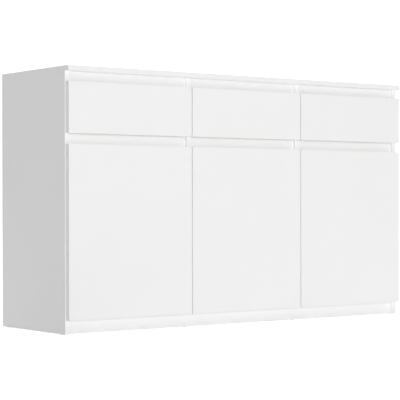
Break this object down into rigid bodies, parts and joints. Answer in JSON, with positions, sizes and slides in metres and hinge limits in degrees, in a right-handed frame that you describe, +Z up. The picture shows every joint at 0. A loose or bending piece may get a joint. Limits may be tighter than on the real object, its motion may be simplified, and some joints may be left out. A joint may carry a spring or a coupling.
{
  "type": "sideboard buffet",
  "caption": "White sideboard buffet: drawers over cupboard doors, handle-less fronts with recessed finger grips, thin top, recessed plinth.",
  "frame": {"origin": "middle of the footprint, on the floor", "axes": "+X to the right of someone facing the fronts, +Y from the fronts to the back, +Z up; the fronts face -Y"},
  "size_m": [1.4, 0.42, 0.83],
  "materials": {
    "white_board": "white melamine-faced chipboard, matte, edge-banded",
    "white_front": "white melamine-faced chipboard, matte, edge-banded",
    "drawer_board": "white foil-wrapped chipboard, matte",
    "hardboard": "thin hardboard, white lacquer inside, raw brown outside",
    "beech": "fluted beech dowel, raw",
    "zinc_steel": "zinc-plated steel",
    "cam_zinc": "die-cast zinc alloy",
    "runner_steel": "bright zinc-plated steel sheet",
    "hinge_steel": "nickel-plated steel",
    "glide_plastic": "moulded white plastic",
    "bumper_plastic": "soft clear plastic"
  },
  "bodies": {
    "cabinet": {"top_panel": "white_board", "side_panel_left": "white_board", "side_panel_right": "white_board", "partition_left": "white_board", "partition_right": "white_board", "bottom_panel": "white_board", "plinth_front": "white_board", "plinth_rear": "white_board", "top_rails": "white_board", "grip_rail_left": "white_board", "grip_rail_middle": "white_board", "grip_rail_right": "white_board", "shelf_left": "white_board", "shelf_middle": "white_board", "shelf_right": "white_board", "back_left": "hardboard", "back_middle": "hardboard", "back_right": "hardboard", "shelf_pins": "zinc_steel", "cam_locks": "cam_zinc", "cam_bolts": "zinc_steel", "dowels": "beech", "screws": "zinc_steel", "back_nails": "zinc_steel", "floor_glides": "glide_plastic", "wall_brackets": "zinc_steel", "bumpers": "bumper_plastic", "cabinet_runners": "runner_steel", "hinge_plates": "hinge_steel", "hinge_arms": "hinge_steel"},
    "drawer_left": {"drawer_left_front": "white_front", "drawer_left_sides": "drawer_board", "drawer_left_back": "drawer_board", "drawer_left_bottom": "hardboard", "drawer_left_runners": "runner_steel"},
    "drawer_left_mid_runners": {"drawer_left_mid_runners": "runner_steel"},
    "drawer_middle": {"drawer_middle_front": "white_front", "drawer_middle_sides": "drawer_board", "drawer_middle_back": "drawer_board", "drawer_middle_bottom": "hardboard", "drawer_middle_runners": "runner_steel"},
    "drawer_middle_mid_runners": {"drawer_middle_mid_runners": "runner_steel"},
    "drawer_right": {"drawer_right_front": "white_front", "drawer_right_sides": "drawer_board", "drawer_right_back": "drawer_board", "drawer_right_bottom": "hardboard", "drawer_right_runners": "runner_steel"},
    "drawer_right_mid_runners": {"drawer_right_mid_runners": "runner_steel"},
    "door_left": {"door_left": "white_front", "door_left_cups": "hinge_steel"},
    "door_left_arm_links": {"door_left_arm_links": "hinge_steel"},
    "door_left_cup_links": {"door_left_cup_links": "hinge_steel"},
    "door_middle": {"door_middle": "white_front", "door_middle_cups": "hinge_steel"},
    "door_middle_arm_links": {"door_middle_arm_links": "hinge_steel"},
    "door_middle_cup_links": {"door_middle_cup_links": "hinge_steel"},
    "door_right": {"door_right": "white_front", "door_right_cups": "hinge_steel"},
    "door_right_arm_links": {"door_right_arm_links": "hinge_steel"},
    "door_right_cup_links": {"door_right_cup_links": "hinge_steel"}
  },
  "joints": [
    {"name": "drawer_left_slide", "type": "slide", "parent": "cabinet", "child": "drawer_left", "axis": [0, -1, 0], "range_m": [0, 0.33]},
    {"name": "drawer_left_mid_runner_slide", "type": "slide", "parent": "cabinet", "child": "drawer_left_mid_runners", "axis": [0, -1, 0], "range_m": [0, 0.165]},
    {"name": "drawer_middle_slide", "type": "slide", "parent": "cabinet", "child": "drawer_middle", "axis": [0, -1, 0], "range_m": [0, 0.33]},
    {"name": "drawer_middle_mid_runner_slide", "type": "slide", "parent": "cabinet", "child": "drawer_middle_mid_runners", "axis": [0, -1, 0], "range_m": [0, 0.165]},
    {"name": "drawer_right_slide", "type": "slide", "parent": "cabinet", "child": "drawer_right", "axis": [0, -1, 0], "range_m": [0, 0.33]},
    {"name": "drawer_right_mid_runner_slide", "type": "slide", "parent": "cabinet", "child": "drawer_right_mid_runners", "axis": [0, -1, 0], "range_m": [0, 0.165]},
    {"name": "door_left_hinge", "type": "hinge", "parent": "cabinet", "child": "door_left", "pos_m": [-0.698, -0.21, 0.3175], "axis": [0, 0, -1], "range_deg": [0, 105]},
    {"name": "door_left_arm_link_pivot", "type": "hinge", "parent": "cabinet", "child": "door_left_arm_links", "pos_m": [-0.674, -0.183, 0.3175], "axis": [0, 0, -1], "range_deg": [0, 105]},
    {"name": "door_left_cup_link_pivot", "type": "hinge", "parent": "door_left_arm_links", "child": "door_left_cup_links", "pos_m": [-0.648, -0.171, 0.3175], "axis": [0, 0, -1], "range_deg": [-105, 0]},
    {"name": "door_middle_hinge", "type": "hinge", "parent": "cabinet", "child": "door_middle", "pos_m": [-0.22867, -0.21, 0.3175], "axis": [0, 0, -1], "range_deg": [0, 105]},
    {"name": "door_middle_arm_link_pivot", "type": "hinge", "parent": "cabinet", "child": "door_middle_arm_links", "pos_m": [-0.20467, -0.183, 0.3175], "axis": [0, 0, -1], "range_deg": [0, 105]},
    {"name": "door_middle_cup_link_pivot", "type": "hinge", "parent": "door_middle_arm_links", "child": "door_middle_cup_links", "pos_m": [-0.17867, -0.171, 0.3175], "axis": [0, 0, -1], "range_deg": [-105, 0]},
    {"name": "door_right_hinge", "type": "hinge", "parent": "cabinet", "child": "door_right", "pos_m": [0.698, -0.21, 0.3175], "axis": [0, 0, 1], "range_deg": [0, 105]},
    {"name": "door_right_arm_link_pivot", "type": "hinge", "parent": "cabinet", "child": "door_right_arm_links", "pos_m": [0.674, -0.183, 0.3175], "axis": [0, 0, 1], "range_deg": [0, 105]},
    {"name": "door_right_cup_link_pivot", "type": "hinge", "parent": "door_right_arm_links", "child": "door_right_cup_links", "pos_m": [0.648, -0.171, 0.3175], "axis": [0, 0, 1], "range_deg": [-105, 0]}
  ],
  "couplings": [
    {"joint": "drawer_left_mid_runner_slide", "follows": "drawer_left_slide", "ratio": 0.5},
    {"joint": "drawer_middle_mid_runner_slide", "follows": "drawer_middle_slide", "ratio": 0.5},
    {"joint": "drawer_right_mid_runner_slide", "follows": "drawer_right_slide", "ratio": 0.5},
    {"joint": "door_left_arm_link_pivot", "follows": "door_left_hinge", "ratio": 1},
    {"joint": "door_left_cup_link_pivot", "follows": "door_left_hinge", "ratio": -1},
    {"joint": "door_middle_arm_link_pivot", "follows": "door_middle_hinge", "ratio": 1},
    {"joint": "door_middle_cup_link_pivot", "follows": "door_middle_hinge", "ratio": -1},
    {"joint": "door_right_arm_link_pivot", "follows": "door_right_hinge", "ratio": 1},
    {"joint": "door_right_cup_link_pivot", "follows": "door_right_hinge", "ratio": -1}
  ]
}
